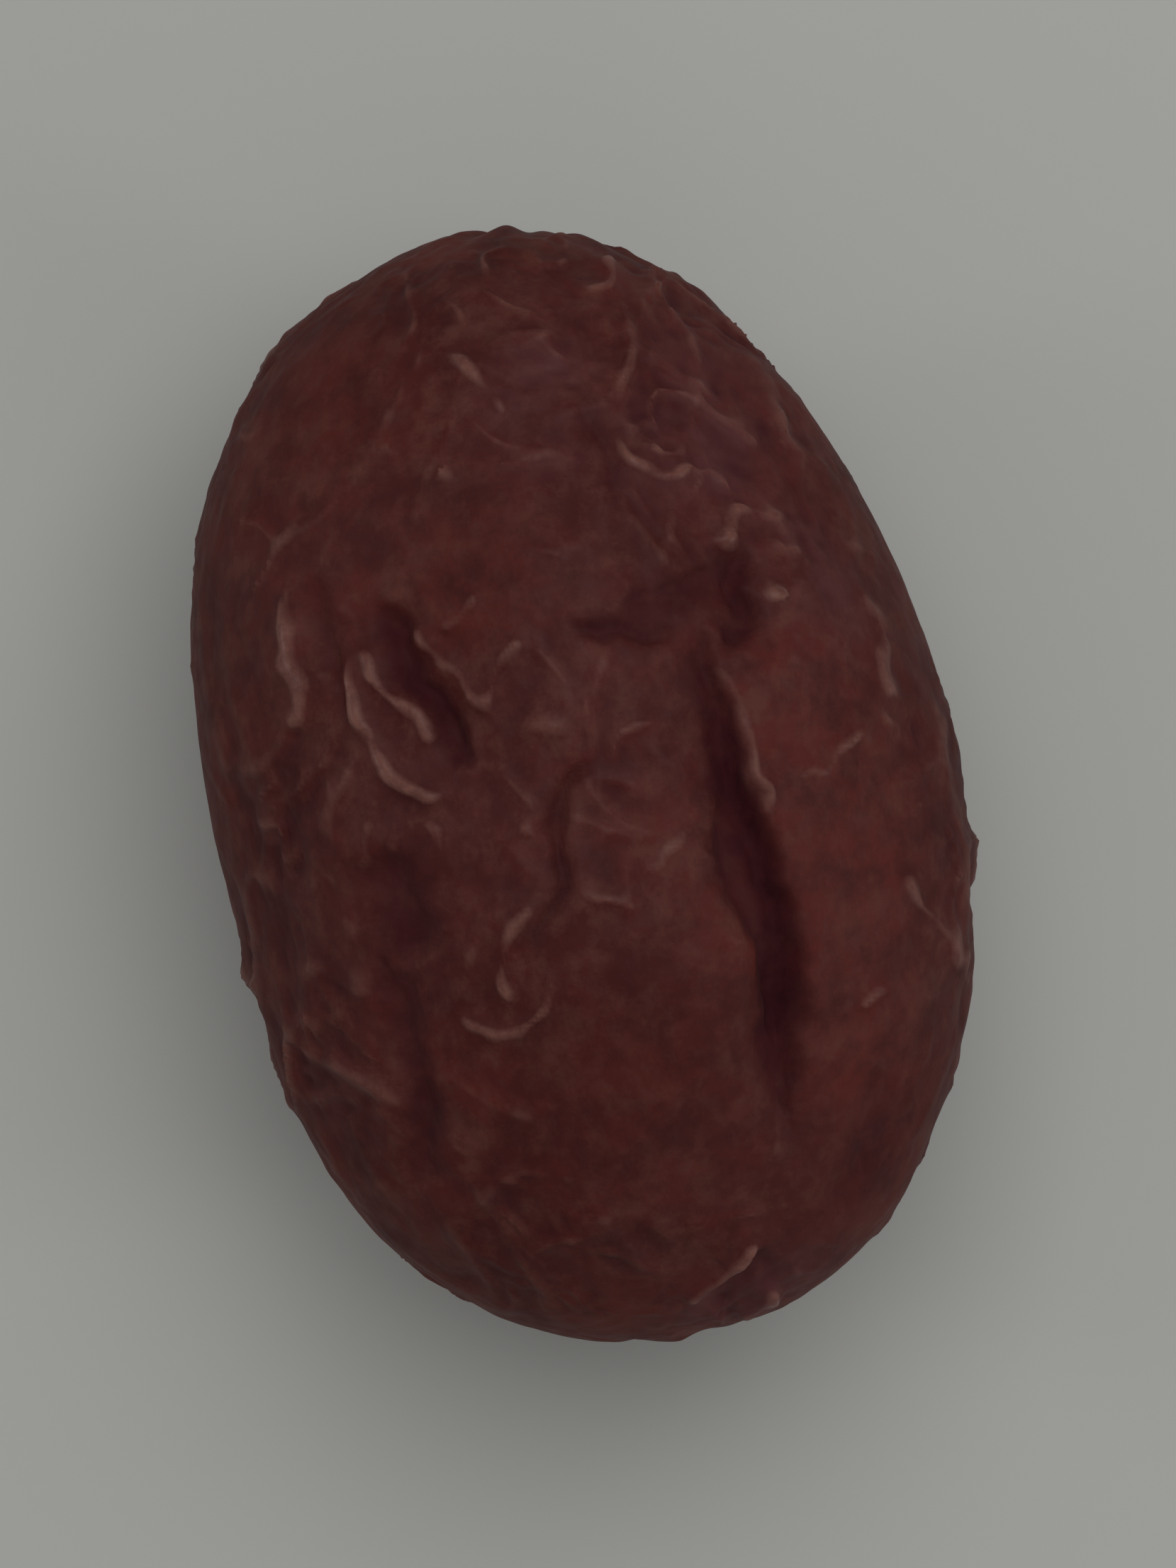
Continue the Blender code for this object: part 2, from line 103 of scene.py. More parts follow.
def body(way):
    """An ellipsoid, its reach in plan scaled by a blurred average of the measured outline's."""
    half = np.array([WIDTH / 2, LENGTH / 2])
    seen = np.array(OUTLINE) / half
    seen_angle = np.arctan2(seen[:, 1], seen[:, 0])
    seen_reach = np.hypot(seen[:, 0], seen[:, 1])
    angle = np.arctan2(way[:, 1], way[:, 0])
    weight = np.exp(OUTLINE_BLUR * (np.cos(angle[:, None] - seen_angle) - 1))
    reach = (weight * seen_reach).sum(1) / weight.sum(1)
    rim = smooth_step(np.hypot(way[:, 0], way[:, 1]), *OUTLINE_FULL)
    reach = 1 + rim * (reach - 1)
    x = way[:, 0] * half[0] * reach
    y = way[:, 1] * half[1] * reach
    z = way[:, 2] * HEIGHT / 2 * (1 + BELLY * way[:, 1] ** 2)
    return np.stack([x, y, z], 1)


def outward(way):
    """The ellipsoid's normal: each direction divided by its half axis, made unit long."""
    normal = way / np.array([WIDTH / 2, LENGTH / 2, HEIGHT / 2])
    return normal / np.linalg.norm(normal, axis=1, keepdims=True)


# Every uneven field is a sum of plane waves: how many, and the spread of their wave numbers
WAVE_COUNT = 40
WAVE_SPREAD = (0.75, 1.25)


def waves(points, length, seed):
    """A smooth uneven field of unit spread: the sum of cosines of seeded plane waves."""
    random = np.random.default_rng(seed)
    push = random.normal(size=(3, WAVE_COUNT))
    number = 2 * np.pi / length * random.uniform(*WAVE_SPREAD, WAVE_COUNT)
    push *= number / np.linalg.norm(push, axis=0)
    phase = random.uniform(0, 2 * np.pi, WAVE_COUNT)
    return np.cos(points @ push + phase).sum(1) / np.sqrt(WAVE_COUNT / 2)


def sway(points, amount, length, seeds):
    """A shift for each point: the amount times one wave field for each axis."""
    return amount * np.stack([waves(points, length, seed) for seed in seeds], 1)


def near(way, centre, degrees):
    """A soft patch: e to the minus square of the angle from the centre over the spread."""
    centre = np.array(centre) / np.linalg.norm(centre)
    angle = np.degrees(np.arccos(np.clip(way @ centre, -1, 1)))
    return np.exp(-(angle / degrees) ** 2)


def patched(way, places, share=0.0):
    """The greatest of a share and of soft patches at the places."""
    for centre, degrees in places:
        share = np.maximum(share, near(way, centre, degrees))
    return share


# Broad hollows: direction from the middle, spread in degrees, depth
HOLLOWS = [
    ((-0.55, 0.35, -0.80), 30, 0.70),
    ((0.70, -0.20, -0.75), 26, 0.50),
    ((0.50, -0.75, -0.50), 22, 0.35),
    ((-0.85, -0.10, 0.50), 22, 0.35),
    ((-0.30, 0.12, 0.95), 17, 0.30),
    ((0.45, 0.45, 0.80), 17, 0.30),
]

# Slow swells: height, wave length, seed. They are held back round the measured outline.
SWELLS = [(0.14, 15, 1), (0.09, 8, 2)]
SWELL_HELD = 0.8
SWELL_RIM = (0.6, 1.0)


def broad_form(way, points):
    """Slow wave fields, a fifth as strong round the measured outline, less the hollows."""
    held = 1 - SWELL_HELD * smooth_step(np.hypot(way[:, 0], way[:, 1]), *SWELL_RIM)
    height = held * sum(tall * waves(points, length, seed) for tall, length, seed in SWELLS)
    for centre, degrees, depth in HOLLOWS:
        height -= depth * near(way, centre, degrees)
    return height


# Where the skin is drawn taut and where it is most shrunken: direction, spread in degrees
TAUT = [
    ((0.10, -0.55, 0.83), 25),
    ((0.66, -0.10, 0.73), 15),
    ((0.62, -0.55, 0.55), 16),
    ((-0.15, 0.42, 0.90), 12),
    ((-0.50, 0.75, 0.45), 16),
    ((-0.88, 0.42, 0.15), 15),
    ((-0.70, -0.70, 0.05), 17),
    ((0.00, -1.00, 0.00), 18),
]
SHRUNKEN = [
    ((0.35, 0.70, 0.60), 20),
    ((-0.75, -0.20, 0.55), 24),
    ((0.00, 1.00, 0.10), 26),
    ((0.25, -0.90, 0.25), 10),
]
TAUT_SHARE = 0.94
SHRINK_WAVE = (17, 3)
SHRINK_LIFT = 0.3
SHRINK_UNDER = 0.5
SHRINK_RANGE = (-0.7, 1.0)
UNDERSIDE = (-0.35, 0.15)
ENDS_CLEAR = (0.15, 0.5)


def shrunken_share(way, points):
    """0 where the skin is taut to 1 where it shrank most: a slow wave field and the two lists of patches."""
    under = 1 - smooth_step(way[:, 2], *UNDERSIDE)
    share = smooth_step(waves(points, *SHRINK_WAVE) + SHRINK_LIFT + SHRINK_UNDER * under, *SHRINK_RANGE)
    share = patched(way, SHRUNKEN, share)
    for centre, degrees in TAUT:
        share = share * (1 - TAUT_SHARE * near(way, centre, degrees))
    return share * smooth_step(np.hypot(way[:, 0], way[:, 2]), *ENDS_CLEAR)


# Where the stem and the tip sit in X and Z, and how the turn round the line between them
# wanders: amount, wave length, seed
STEM_AT = (1.0, -3.0)
TIP_AT = (0.5, -1.4)
TURN_WANDER = [(0.12, 9.0, 21), (0.04, 4.5, 22)]


def round_turn(points):
    """The angle round the line from stem to tip, plus two wave fields so that it wanders."""
    share = points[:, 1] / LENGTH + 0.5
    across = points[:, 0] - STEM_AT[0] - share * (TIP_AT[0] - STEM_AT[0])
    up = points[:, 2] - STEM_AT[1] - share * (TIP_AT[1] - STEM_AT[1])
    turn = np.arctan2(across, up)
    for amount, length, seed in TURN_WANDER:
        turn += amount * waves(points, length, seed)
    return turn


# Long folds from end to end
FOLD_HEIGHT = 0.44
FOLD_WIDTH = 0.50
FOLD_MEAN = 0.42
FOLD_COUNT = 14
FOLD_ORDERS = (7, 14)
FOLD_SLANT = 0.2
FOLD_SEED = 5
FOLD_PLACES = (20, 31)
FOLD_RANGE = (-0.7, 0.7)


def fold_lines(way, points):
    """Cosines of whole multiples of the turn, each slanting a little, added up: zero along the folds."""
    run = LENGTH / 2 * np.arcsin(np.clip(way[:, 1], -1, 1))
    turn = round_turn(points)
    random = np.random.default_rng(FOLD_SEED)
    mixed = np.zeros(len(way))
    for order in random.integers(*FOLD_ORDERS, FOLD_COUNT):
        slant = random.uniform(-FOLD_SLANT, FOLD_SLANT)
        mixed += np.cos(order * turn + slant * run + random.uniform(0, 2 * np.pi))
    return mixed / np.sqrt(FOLD_COUNT / 2)


# Cells of shrunken skin: size, how much longer than wide, seed. The centres are as many as the
# skin's area holds, and the gaps are worked out in parts, which spares memory.
CELLS = (4.4, 1.45, 41)
SKIN_AREA = 1800
GAP_PARTS = 20


def cell_gap(points, size, long, seed):
    """Distance to the second nearest cell centre less that to the nearest: zero on cell walls.
    The centres stand on a golden spiral over the body, each moved a little at random."""
    random = np.random.default_rng(seed)
    count = int(SKIN_AREA / size ** 2)
    number = np.arange(count) + 0.5
    height = 1 - 2 * number / count
    turn = np.pi * (1 + 5 ** 0.5) * number
    ring = np.sqrt(1 - height * height)
    centres = np.stack([ring * np.sin(turn), height, ring * np.cos(turn)], 1)
    centres += random.normal(scale=1 / np.sqrt(count), size=centres.shape)
    centres = body(centres / np.linalg.norm(centres, axis=1, keepdims=True))
    squeeze = np.array([1, 1 / long, 1])
    centres = centres * squeeze
    net_gap_shade = []
    for part in np.array_split(points * squeeze, GAP_PARTS):
        square = (part ** 2).sum(1)[:, None] + (centres ** 2).sum(1) - 2 * part @ centres.T
        nearest = np.partition(np.sqrt(np.maximum(square, 0)), 1, axis=1)
        net_gap_shade.append(nearest[:, 1] - nearest[:, 0])
    return np.concatenate(net_gap_shade)


# The cells' walls and the veins, and how far both are moved: amount, wave length, seeds
DRIFT = (0.55, 7.0, (11, 12, 13))
WALL_HEIGHT = 0.42
WALL_WIDTH = 0.50
WALL_MEAN = 0.28
WALL_PLACES = (6, 42)
WALL_RANGE = (-1.0, 0.6)
WALL_BESIDE_FOLDS = 0.6
VEIN_HEIGHT = 0.16
VEIN_WIDTH = 0.36
VEIN_MEAN = 0.38
VEIN_WAVE = (5.0, 51)
ROUNDING = 0.12

# The seen face is calmer than the flanks and the underside
FLANK = (-0.15, 0.55)
FACE_FOLDS = 0.20
FACE_WALLS = 0.40


def crest(gap, width, rounding=ROUNDING):
    """A ridge along gap = 0: e to the minus gap over width, with its top rounded off."""
    return np.exp(-(np.sqrt(gap ** 2 + rounding ** 2) - rounding) / width)


def folds_and_cells(way, points, shrunken):
    """Crests along the fold lines, on the walls between cells, and where a winding field is zero."""
    flank = 1 - smooth_step(way[:, 2], *FLANK)
    folded = smooth_step(waves(points, *FOLD_PLACES), *FOLD_RANGE)
    fold = crest(np.abs(fold_lines(way, points)), FOLD_WIDTH) - FOLD_MEAN
    height = FOLD_HEIGHT * folded * (FACE_FOLDS + (1 - FACE_FOLDS) * flank) * fold
    moved = points + sway(points, *DRIFT)
    wall = crest(cell_gap(moved, *CELLS), WALL_WIDTH) - WALL_MEAN
    strong = (FACE_WALLS + (1 - FACE_WALLS) * flank) * (1 - WALL_BESIDE_FOLDS * folded)
    height += WALL_HEIGHT * strong * smooth_step(waves(points, *WALL_PLACES), *WALL_RANGE) * wall
    height += VEIN_HEIGHT * (crest(np.abs(waves(moved, *VEIN_WAVE)), VEIN_WIDTH) - VEIN_MEAN)
    return shrunken * height


# Fine wrinkles. First short strokes: height, half width, mean taken off, share of the height left
# on taut skin, stretch, wave length and seed, and the wave field that breaks them off.
STROKE_HEIGHT = 0.17
STROKE_WIDTH = 0.26
STROKE_MEAN = 0.2
STROKE_TAUT = 0.25
STROKE_STRETCH = (1, 0.65, 1)
STROKE_WAVE = (3.2, 76)
STROKE_PLACES = (3.0, 79)
STROKE_RANGE = (0.1, 0.9)

# Then a net of small cells in patches: direction, spread in degrees
NETTED = [
    ((0.00, 0.08, 1.00), 15),
    ((0.36, 0.55, 0.75), 18),
    ((-0.62, -0.38, 0.68), 16),
    ((0.20, -0.90, 0.30), 12),
    ((-0.10, 0.85, 0.45), 14),
]
SMALL_CELLS = (1.9, 1.3, 74)
SMALL_WALL_HEIGHT = 0.18
SMALL_WALL_WIDTH = 0.20
SMALL_WALL_MEAN = 0.25
SMALL_CELL_PLACES = (2.6, 78)
SMALL_CELL_RANGE = (-0.5, 0.6)

# Last a faint unevenness, and what all three share
GRAIN_HEIGHT = 0.012
GRAIN_TAUT = 0.3
GRAIN_WAVE = (0.9, 77)
FINE_DRIFT = (0.25, 2.5, (71, 72, 73))
FINE_ROUNDING = 0.06


def fine_wrinkles(way, points, shrunken):
    """Short crests along the zero lines of a field, small cells in the netted patches, and a faint
    unevenness."""
    moved = points + (sway(points, *DRIFT) + sway(points, *FINE_DRIFT))
    stroke = crest(np.abs(waves(moved * STROKE_STRETCH, *STROKE_WAVE)), STROKE_WIDTH, FINE_ROUNDING)
    strong = STROKE_TAUT + (1 - STROKE_TAUT) * shrunken
    strong *= smooth_step(waves(points, *STROKE_PLACES), *STROKE_RANGE)
    height = STROKE_HEIGHT * strong * (stroke - STROKE_MEAN)
    wall = crest(cell_gap(moved, *SMALL_CELLS), SMALL_WALL_WIDTH, FINE_ROUNDING)
    patch = patched(way, NETTED) * smooth_step(waves(points, *SMALL_CELL_PLACES), *SMALL_CELL_RANGE)
    height += SMALL_WALL_HEIGHT * patch * (wall - SMALL_WALL_MEAN)
    return height + GRAIN_HEIGHT * (GRAIN_TAUT + shrunken) * waves(moved, *GRAIN_WAVE)


# Both ends: radius, height and power of each rise, a hollow being a rise below zero
STEM_FORM = [(0.45, 0.40, 4), (1.9, -0.95, 2), (0.90, -0.65, 4)]
TIP_FORM = [(0.55, 0.40, 2), (1.4, -0.50, 2)]

# The woody scars, and the pits there darkened with painted shade, as masks: radius, strength and power
STEM_SCAR = (0.55, 1.0, 4)
STEM_PIT = (1.15, 1.0, 4)
TIP_SCAR = (0.45, 0.8, 4)
TIP_PIT = (0.9, 0.5, 4)

# Pleats round both ends: height, number round and start of each, then ring radius and width
PLEAT_HEIGHT = 0.065
PLEATS = [(9, 0.8), (14, 2.0)]
STEM_PLEATS = (2.9, 1.4)
TIP_PLEATS = (2.6, 1.5)


def rise(distance, radius, height, power):
    """The height times e to the minus distance over radius, raised to the power."""
    return height * np.exp(-(distance / radius) ** power)


def stem_and_tip(way, points):
    """Round the stem a cup, a pit and a scar in it; round the tip a dimple and a point; both drawn
    into pleats. The pit masks returned are painted shade."""
    stem = np.hypot(points[:, 0] - STEM_AT[0], points[:, 2] - STEM_AT[1])
    tip = np.hypot(points[:, 0] - TIP_AT[0], points[:, 2] - TIP_AT[1])
    turn = round_turn(points)
    pleats = PLEAT_HEIGHT * sum(np.cos(number * turn + start) for number, start in PLEATS)
    cavity = sum(rise(stem, *form) for form in STEM_FORM)
    cavity += pleats * np.exp(-((stem - STEM_PLEATS[0]) / STEM_PLEATS[1]) ** 2)
    dimple = sum(rise(tip, *form) for form in TIP_FORM)
    dimple += pleats * np.exp(-((tip - TIP_PLEATS[0]) / TIP_PLEATS[1]) ** 2)
    at_stem = way[:, 1] < 0
    pit = np.where(at_stem, rise(stem, *STEM_PIT), rise(tip, *TIP_PIT))
    scar = np.where(at_stem, rise(stem, *STEM_SCAR), rise(tip, *TIP_SCAR))
    return np.where(at_stem, cavity, dimple), pit, scar


# Creases seen on the face: points in plan, depth, half width on the path's left and on its
# right, height of the lip on its right
CREASES = [
    ([(4.3, -10.3), (4.7, -7.8), (5.1, -6.0), (5.1, -4.6), (4.75, -2.8), (4.3, -1.2), (4.0, 0.6),
      (3.75, 3.9)], 0.90, 0.90, 0.26, 0.03),
    ([(4.7, -7.8), (4.5, -6.0), (4.2, -4.7), (3.8, -3.4), (3.6, -2.1), (3.65, -0.4)],
     0.46, 0.32, 0.55, 0.00),
    ([(3.1, 3.3), (2.2, 3.75), (1.3, 3.95), (0.1, 4.15)], 0.36, 0.26, 0.40, 0.03),
    ([(1.0, 4.5), (2.6, 4.4), (4.0, 4.5), (5.6, 4.3)], 0.26, 0.80, 0.80, 0.00),
    ([(1.5, 4.8), (2.6, 4.85), (3.8, 5.0), (4.6, 5.3)], 0.30, 0.34, 0.40, 0.00),
    ([(4.2, 2.9), (5.0, 3.8), (4.9, 4.9), (4.9, 6.0)], 0.44, 0.42, 0.24, 0.04),
    ([(-4.8, 5.6), (-4.45, 4.2), (-3.95, 2.8), (-3.5, 1.8), (-3.1, 0.8)], 0.52, 0.48, 0.30, 0.02),
    ([(-1.9, -4.2), (-1.2, -3.3), (-0.9, -2.2), (-0.75, -0.9), (-0.3, 0.1), (0.5, 0.5)],
     0.28, 0.26, 0.18, 0.06),
    ([(-5.0, -4.2), (-5.4, -2.6), (-5.9, -1.0)], 0.42, 0.80, 0.75, 0.00),
    ([(-5.5, -10.2), (-5.6, -8.0), (-5.75, -6.0), (-6.2, -4.0)], 0.34, 0.50, 0.45, 0.00),
    ([(5.2, -12.4), (6.4, -10.8), (7.2, -8.8)], 0.20, 0.60, 0.50, 0.03),
    ([(2.1, 7.4), (1.9, 8.9), (1.1, 10.2)], 0.18, 0.30, 0.26, 0.03),
    ([(-6.5, 3.4), (-6.6, 5.0), (-6.6, 6.6)], 0.28, 0.30, 0.40, 0.00),
    ([(1.7, -14.8), (2.4, -14.1), (3.5, -13.2)], 0.22, 0.28, 0.28, 0.03),
]
CREASE_ENDS = 0.45
CREASE_MIDDLE = 0.6
CREASE_POWER = 1.6
CREASE_CALM = 0.5
LIP_AWAY = 2.4
LIP_WIDE = 1.2

# How dark the painted shade in a crease is: the depth at which it is darkest, how far that
# reaches up its steeper right wall, and how sharply it ends
SHADE_DEPTH = 0.60
SHADE_RIGHT = 1.5
SHADE_POWER = 3

# Ridges seen on the face: points in plan, height, half width
RIDGES = [
    ([(-5.9, 4.9), (-5.8, 3.6), (-5.65, 2.5), (-5.35, 1.5), (-4.8, 0.65), (-4.1, 0.15), (-3.0, 0.0)],
     0.26, 0.21),
    ([(-5.7, 4.5), (-5.2, 3.9), (-4.75, 2.9), (-4.3, 2.1), (-3.9, 1.6)], 0.24, 0.20),
    ([(-4.1, 4.8), (-3.5, 3.95), (-3.0, 3.1), (-2.55, 2.2)], 0.18, 0.21),
    ([(-2.55, 2.2), (-2.1, 2.8), (-1.6, 3.5), (-0.9, 3.6)], 0.15, 0.24),
    ([(-3.2, 4.6), (-2.7, 5.0), (-2.0, 5.2)], 0.13, 0.22),
    ([(-4.1, -0.5), (-3.8, -1.3), (-3.5, -2.0)], 0.16, 0.26),
    ([(-1.7, -2.8), (-2.2, -3.6), (-2.7, -4.6), (-3.0, -5.8)], 0.19, 0.20),
    ([(-4.0, -5.8), (-3.6, -6.25), (-3.0, -6.45), (-2.4, -6.3), (-1.9, -5.8), (-1.2, -5.0)], 0.20, 0.20),
    ([(-1.9, 12.0), (-1.4, 11.1), (-0.6, 10.0)], 0.25, 0.24),
    ([(-2.85, 8.8), (-2.55, 8.5)], 0.16, 0.26),
    ([(2.15, 9.6), (2.4, 8.6), (3.0, 8.0), (3.6, 7.85), (4.3, 8.05)], 0.26, 0.21),
    ([(2.95, 9.1), (3.3, 8.5), (3.8, 8.6), (4.2, 9.4)], 0.22, 0.21),
    ([(4.65, 5.7), (4.9, 6.3), (5.4, 6.9)], 0.25, 0.21),
    ([(5.05, 4.9), (5.4, 4.5), (5.9, 4.1)], 0.25, 0.20),
    ([(4.0, 2.9), (4.28, 1.2), (4.5, -0.2), (5.05, -2.3)], 0.20, 0.20),
    ([(5.2, -0.95), (6.4, -0.4), (7.4, 0.25), (8.4, 0.5)], 0.13, 0.21),
    ([(7.9, 4.2), (8.5, 3.2), (8.5, 2.0), (8.9, 0.8)], 0.20, 0.26),
    ([(8.2, -3.4), (8.7, -4.6), (9.3, -5.4), (9.6, -6.8)], 0.20, 0.24),
    ([(6.6, -7.0), (7.4, -6.3)], 0.09, 0.21),
    ([(1.3, -2.4), (1.9, -2.6), (2.2, -2.1), (3.0, -1.3)], 0.11, 0.23),
    ([(-7.2, 6.6), (-7.35, 5.0), (-7.2, 3.4), (-7.6, 2.2)], 0.24, 0.24),
    ([(-6.6, -1.9), (-6.0, -1.0), (-5.5, -0.1)], 0.10, 0.20),
    ([(0.9, -14.5), (1.6, -14.0), (2.4, -13.4), (3.3, -12.7)], 0.30, 0.26),
    ([(2.3, -15.0), (2.8, -14.6), (3.4, -14.2)], 0.24, 0.24),
    ([(2.15, -12.1), (1.95, -13.4)], 0.14, 0.24),
    ([(2.7, 14.0), (2.3, 13.3), (1.6, 12.8)], 0.22, 0.21),
    ([(1.2, 14.8), (1.3, 13.9)], 0.18, 0.21),
    ([(-0.6, 13.2), (-0.7, 14.1), (-0.2, 14.6), (0.5, 14.6), (0.8, 13.9)], 0.18, 0.20),
]
RIDGE_POWER = 1.5
RIDGE_FOOT_WIDE = 3.4
RIDGE_FOOT_SHARE = 0.25
RIDGE_CALM = 0.9

# Steps along a path, and how soon and how roundly its mark fades at both ends
PATH_STEPS = 60
TAPER_RISE = 2
TAPER_POWER = 0.7


def curve(points):
    """A Catmull-Rom curve through the given points in plan."""
    points = np.array(points)
    points = np.vstack([2 * points[0] - points[1], points, 2 * points[-1] - points[-2]])
    spans = len(points) - 3
    pieces = []
    for start in range(spans):
        t = np.linspace(0, 1, PATH_STEPS // spans + 1, endpoint=False)[:, None]
        a, b, c, d = points[start:start + 4]
        bend = (2 * a - 5 * b + 4 * c - d) * t ** 2 + (3 * b - a - 3 * c + d) * t ** 3
        pieces.append(0.5 * (2 * b + (c - a) * t + bend))
    pieces.append(points[-2:-1])
    return np.vstack(pieces)


def along(plan, path):
    """Distance to the right of a path in plan, left being negative, and the share run along it."""
    square = ((plan[:, None] - path) ** 2).sum(-1)
    nearest = square.argmin(1)
    step = np.gradient(path, axis=0)[nearest]
    length = np.linalg.norm(step, axis=1)
    off = plan - path[nearest]
    across = (step[:, 1] * off[:, 0] - step[:, 0] * off[:, 1]) / length
    onward = np.clip((step * off).sum(1) / length ** 2, -0.5, 0.5)
    beyond = (nearest == 0) | (nearest == len(path) - 1)
    gap = np.where(beyond, np.sqrt(square.min(1)) * np.sign(across), across)
    return gap, np.clip((nearest + onward) / (len(path) - 1), 0, 1)


def tapered(plan, path):
    """Distance to the right of a curve, and a taper along it: twice a half sine, cut off at 1, raised
    to the power 0.7."""
    gap, share = along(plan, curve(path))
    return gap, np.clip(TAPER_RISE * np.sin(np.pi * share), 0, 1) ** TAPER_POWER


def creases(plan):
    """Each crease a valley with its own slope on each side of its path, and a lip on the right.
    Also how dark its painted shade is, 1 on a deep crease's floor and walls, and how calm the skin beside it
    is."""
    height, shade, calm = np.zeros((3, len(plan)))
    for path, depth, left, right, lip in CREASES:
        gap, taper = tapered(plan, path)
        side = np.where(gap > 0, right, left) * (CREASE_ENDS + CREASE_MIDDLE * taper)
        height -= depth * taper * np.exp(-np.abs(gap / side) ** CREASE_POWER)
        height += lip * taper * np.exp(-((gap - LIP_AWAY * right) / (LIP_WIDE * right)) ** 2)
        wall = np.where(gap > 0, SHADE_RIGHT, 1.0) * side
        dark = min(1.0, depth / SHADE_DEPTH) * taper * np.exp(-np.abs(gap / wall) ** SHADE_POWER)
        shade = np.maximum(shade, dark)
        calm = np.maximum(calm, taper * np.exp(-(gap / (side + CREASE_CALM)) ** 2))
    return height, shade, calm


def ridges(plan):
    """Each ridge a narrow hump, its height over the 1.5th power of 1 plus the square of distance over
    width, on a foot over three times as wide. Also how calm the skin beside it is."""
    height, calm = np.zeros((2, len(plan)))
    for path, tall, width in RIDGES:
        gap, taper = tapered(plan, path)
        narrow = 1 / (1 + (gap / width) ** 2) ** RIDGE_POWER
        foot = np.exp(-(gap / (RIDGE_FOOT_WIDE * width)) ** 2)
        height += tall * taper * ((1 - RIDGE_FOOT_SHARE) * narrow + RIDGE_FOOT_SHARE * foot)
        calm = np.maximum(calm, taper * np.exp(-(gap / RIDGE_CALM) ** 2))
    return height, calm


def blurred(height, rounds):
    """The mean with the four neighbours on the grid, taken many times over; the two ends stay."""
    grid = height[:-2].reshape(ROWS, COLUMNS)
    for _ in range(rounds):
        tall = np.pad(grid, ((1, 1), (0, 0)), mode="edge")
        grid = (2 * grid + tall[:-2] + tall[2:] + np.roll(grid, 1, 1) + np.roll(grid, -1, 1)) / 6
    return np.concatenate([grid.ravel(), height[-2:]])


# The marks of the seen face: where it fades out, how the marks waver in plan, how uneven the
# ridges' height is, how much calmer the skin is beside them, and how far round a point is
# averaged to say how proud it stands
FACE_EDGE = (-0.05, 0.15)
WAVERS = [(0.08, 2.6, (61, 62)), (0.045, 0.9, (63, 64))]
RIDGE_MEAN = 0.95
RIDGE_UNEVEN = 0.25
RIDGE_WAVE = (1.6, 65)
RIDGE_RANGE = (0.4, 1.4)
CALM_SHARE = 0.8
PROUD_ROUNDS = 50

# Where the skin turned plum instead of red: direction, spread in degrees, then a share of it
# wherever the skin is shrunken
PLUM_PATCHES = [
    ((0.43, 0.62, 0.65), 17),
    ((0.67, 0.33, 0.66), 11),
    ((0.05, 0.69, 0.72), 10),
    ((0.24, -0.92, 0.30), 11),
]
PLUM_SHARE = 0.2

way = skin_grid()
points = body(way)
shrunken = shrunken_share(way, points)
end_form, pits, scars = stem_and_tip(way, points)
raised = folds_and_cells(way, points, shrunken) + fine_wrinkles(way, points, shrunken)
height = broad_form(way, points) + end_form - RELIEF_RISE
shade, drawn = np.zeros((2, len(way)))
seen = way[:, 2] > FACE_EDGE[0]
fade = smooth_step(way[seen, 2], *FACE_EDGE)
plan = points[seen, :2]
for waver in WAVERS:
    plan = plan + sway(points[seen], *waver)
sunk, dark, crease_calm = creases(plan)
humps, ridge_calm = ridges(plan)
uneven = np.clip(RIDGE_MEAN + RIDGE_UNEVEN * waves(points[seen], *RIDGE_WAVE), *RIDGE_RANGE)
height[seen] += fade * sunk
shade[seen] = fade * dark
drawn[seen] = fade * humps * uneven
raised[seen] *= 1 - CALM_SHARE * fade * np.maximum(crease_calm, ridge_calm)
proud = raised - blurred(raised, PROUD_ROUNDS)
drawn_proud = drawn - blurred(drawn, PROUD_ROUNDS)
height = (height + raised + drawn) * (1 - near(way, (0, 0, -1), FOOT_CALM))
points = points + outward(way) * height[:, None]
points[:, :2] -= (points[:, :2].max(0) + points[:, :2].min(0)) / 2
points[:, 2] = np.maximum(points[:, 2] + HEIGHT / 2 - FOOT_CUT, 0)

mesh = bpy.data.meshes.new("jujube_skin")
mesh.from_pydata((points * MM).tolist(), [], skin_faces())
mesh.shade_smooth()
skin = bpy.data.objects.new("jujube_skin", mesh)
bpy.context.scene.collection.objects.link(skin)
# The crease layer is painted shade: the creases' shade and the pits'
for name, value in [
    ("ridge", drawn_proud), ("wrinkle", proud), ("crease", np.maximum(shade, pits)),
    ("shrunken", shrunken), ("scar", scars), ("plum", patched(way, PLUM_PATCHES, PLUM_SHARE * shrunken)),
]:
    layer = mesh.attributes.new(name, "FLOAT", "POINT")
    layer.data.foreach_set("value", value.astype(np.float32))

material = bpy.data.materials.new("jujube_skin")
material.use_nodes = True
nodes = material.node_tree.nodes
links = material.node_tree.links
shader = nodes["Principled BSDF"]
place = nodes.new("ShaderNodeTexCoord").outputs["Object"]


def skin_layer(name):
    """One of the skin's own point layers, as a number."""
    node = nodes.new("ShaderNodeAttribute")
    node.attribute_name = name
    return node.outputs["Fac"]


def mottle(grain_mm, detail, rough=0.55, stretch=None, kind="FBM"):
    """Noise whose patches are about that many millimetres across, or stretched along the fruit."""
    node = nodes.new("ShaderNodeTexNoise")
    node.noise_type = kind
    node.inputs["Scale"].default_value = 1000 / grain_mm
    node.inputs["Detail"].default_value = detail
    node.inputs["Roughness"].default_value = rough
    source = place
    if stretch:
        mapping = nodes.new("ShaderNodeMapping")
        mapping.inputs["Scale"].default_value = (1, 1 / stretch, 1)
        links.new(place, mapping.inputs["Vector"])
        source = mapping.outputs["Vector"]
    links.new(source, node.inputs["Vector"])
    return node.outputs["Fac"]


